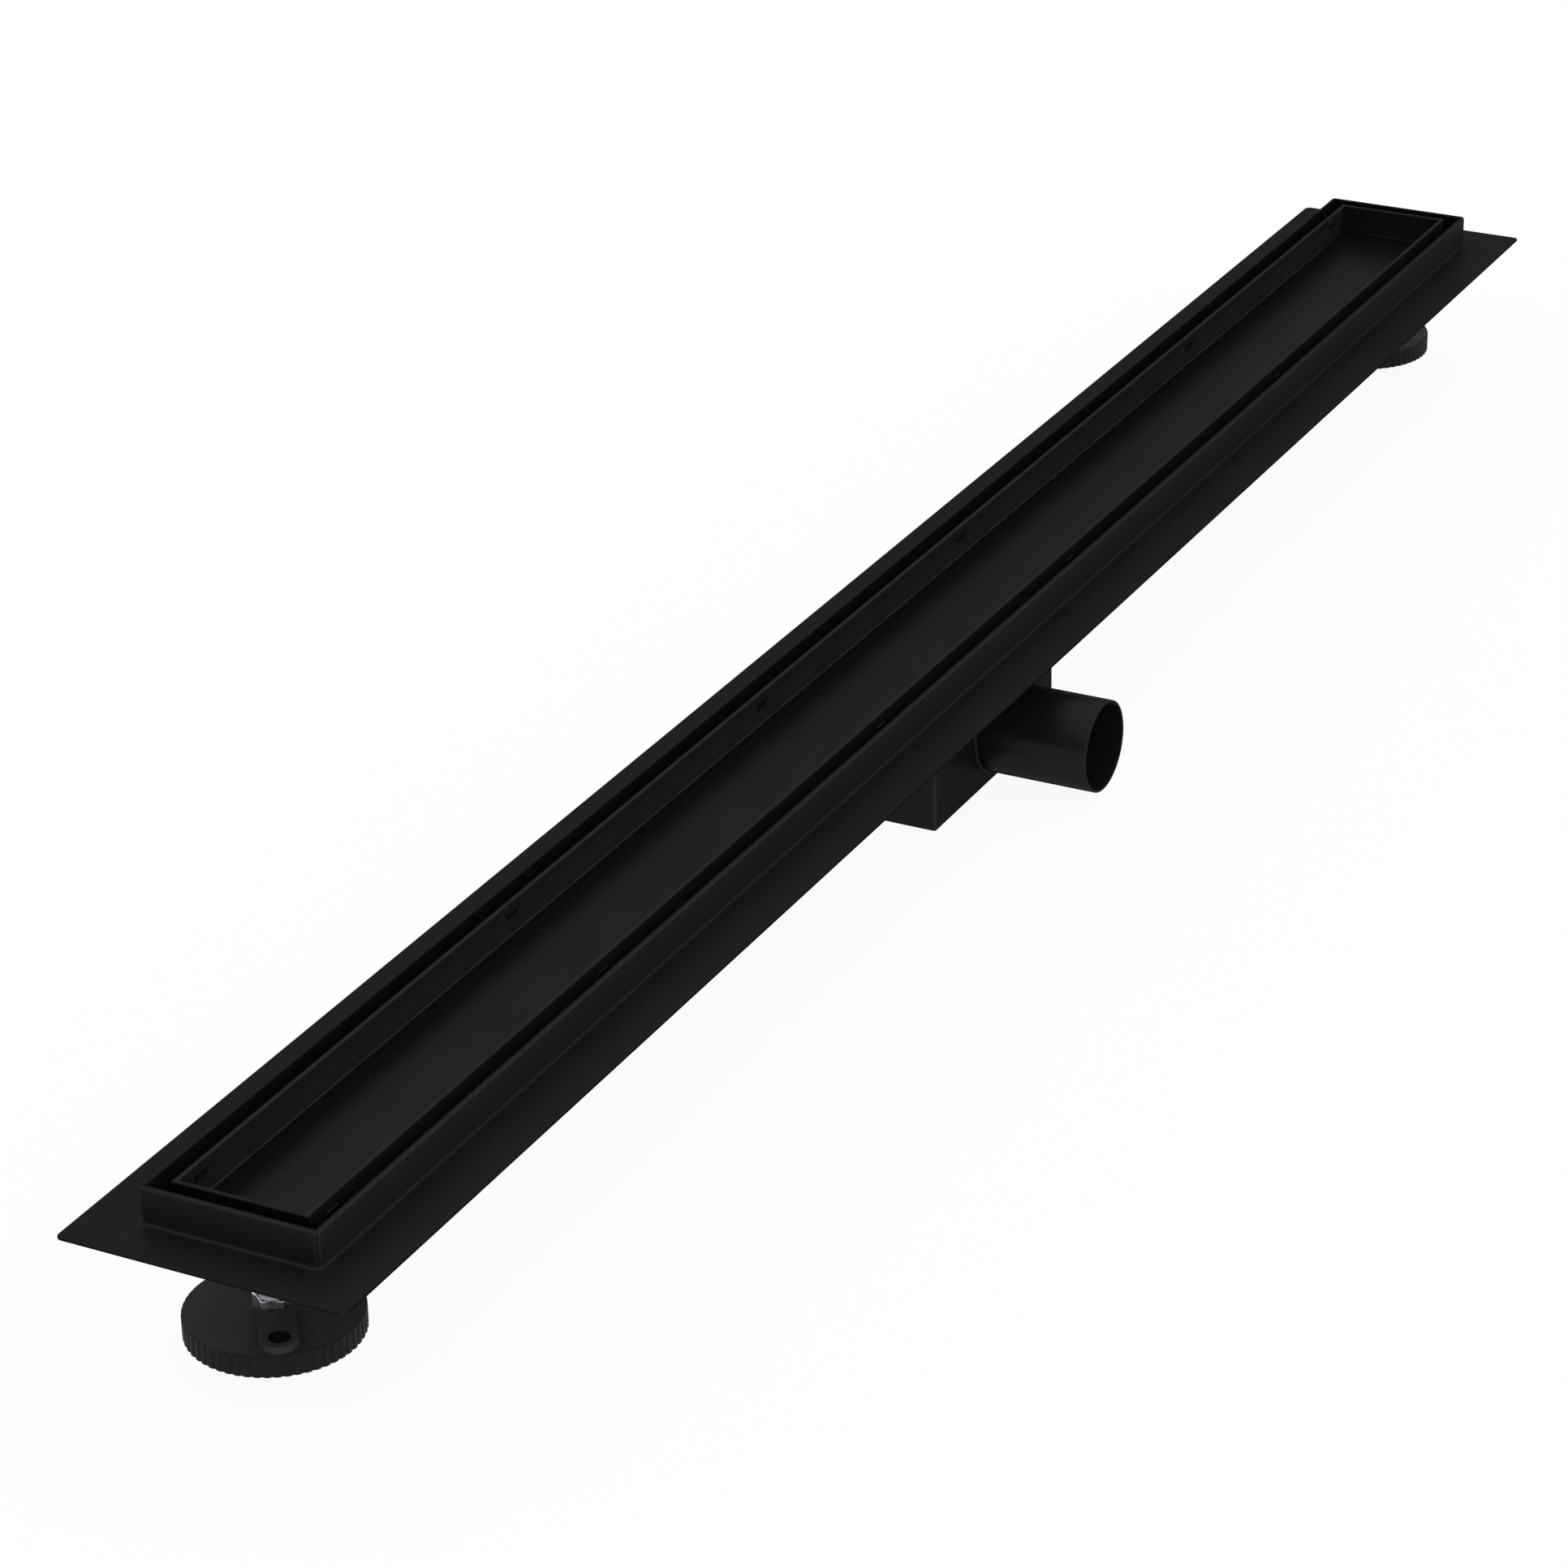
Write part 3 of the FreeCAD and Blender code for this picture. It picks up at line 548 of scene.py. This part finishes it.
channel_coat = coated_steel("channel_coat", shade=channel_painted_light)
tray_coat = coated_steel("tray_coat", tone=0.0205, rough=0.29, edge=0.48, metallic=0.75, bump=0.02,
                         shade=tray_painted_light, gloss=tray_gloss)
box_coat = coated_steel("trap_box_coat", stretch=(0.05, 0.05, 1.0), shade=box_painted_highlight)
support_coat = coated_steel("support_coat")
pipe_coat = coated_steel("pipe_coat", tone=0.02, rough=0.35, edge=0.55, metallic=0.65, fade=0.6,
                         stretch=(1.0, 0.05, 1.0), shade=pipe_painted_shade)
foot_plastic = moulded("foot_plastic", (0.0224, 0.0218, 0.023), (0.0403, 0.0392, 0.0414), 0.62, 0.12,
                       bump=0.35, shade=foot_painted_shade)
zinc = moulded("bright_zinc", (0.72, 0.71, 0.77), (0.9, 0.9, 0.94), 0.3, 0.5,
               fineness=260.0, bump=0.0, metallic=1.0)
rubber = moulded("rubber", (0.012, 0.012, 0.012), (0.02, 0.02, 0.02), 0.7, 0.3)
trap_plastic = moulded("trap_plastic", (0.03, 0.03, 0.032), (0.038, 0.038, 0.04), 0.38, 0.4,
                       fineness=3000.0, bump=0.08)
strainer_plastic = moulded("strainer_plastic", (0.02, 0.02, 0.021), (0.028, 0.028, 0.03), 0.35, 0.4,
                           fineness=3000.0, bump=0.08)

finish = {
    "channel_body": channel_coat,
    "tile_tray": tray_coat,
    "trap_box": box_coat,
    "near_foot_disc": foot_plastic,
    "far_foot_disc": foot_plastic,
    "tray_pads": rubber,
    "trap_seal": rubber,
    "trap_insert": trap_plastic,
    "trap_cup": trap_plastic,
    "hair_strainer": strainer_plastic,
}
finish.update({f"tray_support_{number}": support_coat for number in (1, 2, 3, 4)})


def wear(piece, material):
    piece.data.materials.clear()
    piece.data.materials.append(material)


for name, material in finish.items():
    wear(nodes[name], material)


# Pieces made from grids of points

def circle(count):
    return np.arange(count) * 2 * np.pi / count


def turned_rows(radius, height, angle):
    """Rows of points round the Z axis: radius and height are arrays of rows by columns, or of rows."""
    radius = np.broadcast_to(radius.reshape(len(radius), -1), (len(radius), len(angle)))
    height = np.broadcast_to(height.reshape(len(height), -1), radius.shape)
    return np.stack([radius * np.cos(angle), radius * np.sin(angle), height], axis=-1)


def grid_piece(name, points, body, material, ring=True, sharp=35):
    """Closed mesh from rows of points: each row is a loop, and the rows close on each other (ring) or
    end in a flat cap. Face (i, j) joins rows i, i+1 and columns j, j+1."""
    rows, columns = points.shape[:2]
    row = np.arange(rows if ring else rows - 1)[:, None]
    column = np.arange(columns)[None, :]
    after = (row + 1) % rows
    beside = (column + 1) % columns
    quads = np.stack([row * columns + column, row * columns + beside,
                      after * columns + beside, after * columns + column], axis=-1).reshape(-1, 4)
    faces = quads.tolist()
    if not ring:
        faces.append(np.arange(columns)[::-1].tolist())
        faces.append(((rows - 1) * columns + np.arange(columns)).tolist())
    flat = points.reshape(-1, 3)
    corner = [flat[quads[:, k]] for k in range(4)]
    volume = np.einsum("ij,ij->i", corner[0], np.cross(corner[1], corner[2])).sum()
    volume += np.einsum("ij,ij->i", corner[0], np.cross(corner[2], corner[3])).sum()
    if volume < 0:
        faces = [face[::-1] for face in faces]
    mesh = bpy.data.meshes.new(name)
    mesh.from_pydata(flat.tolist(), [], faces)
    mesh.shade_smooth()
    mesh.set_sharp_from_angle(angle=math.radians(sharp))
    mesh.materials.append(material)
    piece = bpy.data.objects.new(name, mesh)
    bpy.context.scene.collection.objects.link(piece)
    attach(piece, body)
    return piece


def thread_wave(height, angle, pitch):
    """0 at the thread's root and 1 at its crest: a triangle wave of height/pitch - angle/2pi, cut flat."""
    phase = height / pitch - angle / (2 * np.pi)
    wave = np.abs(2 * (phase - np.floor(phase)) - 1)
    return np.clip((wave - 0.12) / 0.68, 0.0, 1.0)


def threaded_stud(end):
    """Stud: rows up the thread, whose radius is the crest less depth(height) * (1 - thread_wave), then
    the fillet and the collar, which are turned profiles."""
    low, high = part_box(f"{end}_foot_stud")
    bottom, top = low[2], high[2]
    angle = circle(40)
    thread_top = top - 9.0 * MM
    count = int((thread_top - bottom) / THREAD_PITCH * 9)
    height = np.linspace(bottom, thread_top, count)
    reach = np.minimum((height - bottom) / (0.9 * MM), 1.0)
    fade = np.minimum((thread_top - height) / (1.5 * MM), 1.0)
    wave = thread_wave(height[:, None], angle[None, :], THREAD_PITCH)
    crest = STUD_RADIUS - (1 - reach) * 0.8 * MM
    depth = 0.7 * MM * fade * reach
    radius = crest[:, None] - depth[:, None] * (1 - wave)
    cone = np.linspace(0, np.pi / 2, 7)
    fillet_radius = (5.5 - 1.5 * np.cos(cone)) * MM
    fillet_height = top - 3 * MM + 1.5 * MM * np.sin(cone)
    collar_radius = np.array([6.7, 6.95, 7.0, 7.0]) * MM
    collar_height = top - np.array([1.5, 1.42, 1.25, 0.0]) * MM
    plain = np.concatenate([fillet_radius, collar_radius])
    radius = np.concatenate([radius, np.repeat(plain[:, None], len(angle), axis=1)])
    height = np.concatenate([height, fillet_height, collar_height])
    points = turned_rows(radius, height, angle) + np.array([*stud_place(end), 0.0])
    piece = grid_piece(f"{end}_foot_threaded_stud", points, "channel", zinc,
                       ring=False, sharp=50)
    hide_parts(f"{end}_foot_stud")


def hexagon_nut(end, which, turn):
    """Nut: outside min(hexagon, 30 degree cone, round), then across the top face, down the threaded
    bore and back under the bottom face."""
    low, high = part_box(f"{end}_foot_{which}_nut")
    bottom, top = low[2], high[2]
    angle = circle(144)
    flat = 6.5 * MM
    corner = flat / math.cos(math.radians(30))
    sector = np.mod(angle, np.pi / 3) - np.pi / 6
    outline = np.minimum(flat / np.cos(sector), corner * 0.99)
    step = np.linspace(0.0, 1.0, 9) ** 1.5 * 1.6 * MM
    height = np.concatenate([bottom + step, top - step[::-1]])
    from_face = np.minimum(height - bottom, top - height)
    cone = flat * 0.985 + from_face * math.sqrt(3) * 0.85
    outside = np.minimum(outline[None, :], cone[:, None])
    bore_height = np.linspace(top - 0.7 * MM, bottom + 0.7 * MM, 42)
    wave = thread_wave(bore_height[:, None], angle[None, :], THREAD_PITCH)
    bore = 4.06 * MM + 0.42 * MM * wave
    face = np.array([5.6, 4.9, 4.7]) * MM
    faces = np.repeat(face[:, None], len(angle), axis=1)
    radius = np.concatenate([outside, faces, bore, faces[::-1]])
    face_height = np.array([0.0, 0.0, 0.06]) * MM
    height = np.concatenate([height, top - face_height, bore_height, bottom + face_height[::-1]])
    around = angle + math.radians(turn)
    points = turned_rows(radius, height, around) + np.array([*stud_place(end), 0.0])
    piece = grid_piece(f"{end}_foot_{which}_hexagon_nut", points, f"{end}_foot", zinc,
                       sharp=28)
    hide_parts(f"{end}_foot_{which}_nut")


def welded_pipe():
    """Outlet stub about the -Y axis: bore, rounded lip, outside, then the weld's rippled quarter round
    of radius leg(angle) on the housing's wall."""
    low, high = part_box("outlet_pipe")
    start, end = -high[1], -low[1]
    angle = circle(224)
    outer, inner = PIPE_OUTER, PIPE_INNER
    lip = np.linspace(0, np.pi, 9)
    lip_radius = (outer + inner) / 2 - np.cos(lip) * (outer - inner) / 2
    lip_run = end - 0.35 * MM + np.sin(lip) * 0.35 * MM
    along = np.linspace(0.02, 0.98, 12)
    bore_run = start + along * (end - start)
    bore_radius = np.full(len(bore_run), inner)
    wall = start + 1.0 * MM
    outside_run = np.linspace(end - 1.5 * MM, wall + 2.2 * MM, 12)
    outside_radius = np.full(len(outside_run), outer)
    leg = (1.0 + 0.03 * np.sin(angle * 61) + 0.03 * np.sin(angle * 17 + 1.0)) * MM
    swing = np.linspace(0, np.pi / 2, 8)
    hollow = 0.18
    bead_run = wall + np.cos(swing)[:, None] ** (1 + hollow) * leg[None, :]
    bead_radius = outer + np.sin(swing)[:, None] ** (1 + hollow) * leg[None, :]
    root_radius = np.full((2, len(angle)), outer)
    root_run = np.repeat(np.array([wall, start])[:, None], len(angle), axis=1)

    def spread(values):
        return np.repeat(values[:, None], len(angle), axis=1)

    radius = np.concatenate([spread(np.full(1, inner)), spread(bore_radius), spread(lip_radius),
                             spread(outside_radius), bead_radius, root_radius])
    run = np.concatenate([spread(np.full(1, start)), spread(bore_run), spread(lip_run),
                          spread(outside_run), bead_run, root_run])
    points = np.stack([radius * np.cos(angle), -run, PIPE_HEIGHT + radius * np.sin(angle)], axis=-1)
    piece = grid_piece("outlet_stub", points, "channel", pipe_coat, sharp=40)
    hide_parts("outlet_pipe")


for end, lug_turn in LUG_TURN.items():
    threaded_stud(end)
    hexagon_nut(end, "captive", lug_turn)
    hexagon_nut(end, "lock", lug_turn + LOCK_NUT_TURN)
welded_pipe()


# Floor, light and camera

def floor_sheet(half=6.0):
    """Pale studio floor: white to the camera and in reflections, with the object's shadow kept on it."""
    mesh = bpy.data.meshes.new("floor")
    corners = [(-half, -half, 0), (half, -half, 0), (half, half, 0), (-half, half, 0)]
    mesh.from_pydata(corners, [], [(0, 1, 2, 3)])
    made = bpy.data.objects.new("floor", mesh)
    bpy.context.scene.collection.objects.link(made)
    material = bpy.data.materials.new("studio_floor")
    material.use_nodes = True
    tree = material.node_tree
    tree.nodes.clear()
    out = tree.nodes.new("ShaderNodeOutputMaterial")
    paint = tree.nodes.new("ShaderNodeBsdfDiffuse")
    paint.inputs["Color"].default_value = (0.97, 0.97, 0.97, 1.0)
    glow = tree.nodes.new("ShaderNodeEmission")
    path = tree.nodes.new("ShaderNodeLightPath")
    seen = math_node(tree, "MAXIMUM", path.outputs["Is Camera Ray"], path.outputs["Is Glossy Ray"])
    seen = math_node(tree, "MAXIMUM", seen, path.outputs["Is Transmission Ray"])
    mix = tree.nodes.new("ShaderNodeMixShader")
    link(tree, math_node(tree, "MULTIPLY", seen, 0.94), mix.inputs["Fac"])
    link(tree, paint.outputs["BSDF"], mix.inputs[1])
    link(tree, glow.outputs["Emission"], mix.inputs[2])
    link(tree, mix.outputs["Shader"], out.inputs["Surface"])
    mesh.materials.append(material)


floor_sheet()

world = bpy.data.worlds.new("studio")
bpy.context.scene.world = world
world.use_nodes = True
back = next(n for n in world.node_tree.nodes if n.type == "BACKGROUND")
back.inputs["Color"].default_value = (1.0, 1.0, 1.0, 1.0)
back.inputs["Strength"].default_value = 1.0

camera = bpy.data.objects.new("camera", bpy.data.cameras.new("camera"))
bpy.context.scene.collection.objects.link(camera)
camera.data.sensor_width = 36.0
camera.data.lens = 115.676
camera.data.clip_end = 50.0
forward = Vector((0.7945864, 0.4185434, -0.4398339)).normalized()
upward = Vector((0.3992734, 0.1855327, 0.8978632))
right = forward.cross(upward).normalized()
upward = right.cross(forward).normalized()
turn = Matrix((right, upward, -forward)).transposed()
camera.matrix_world = Matrix.Translation(Vector((-1.76033, -0.85419, 0.94966))) @ turn.to_4x4()
bpy.context.scene.camera = camera

bpy.context.scene.view_settings.view_transform = "Standard"
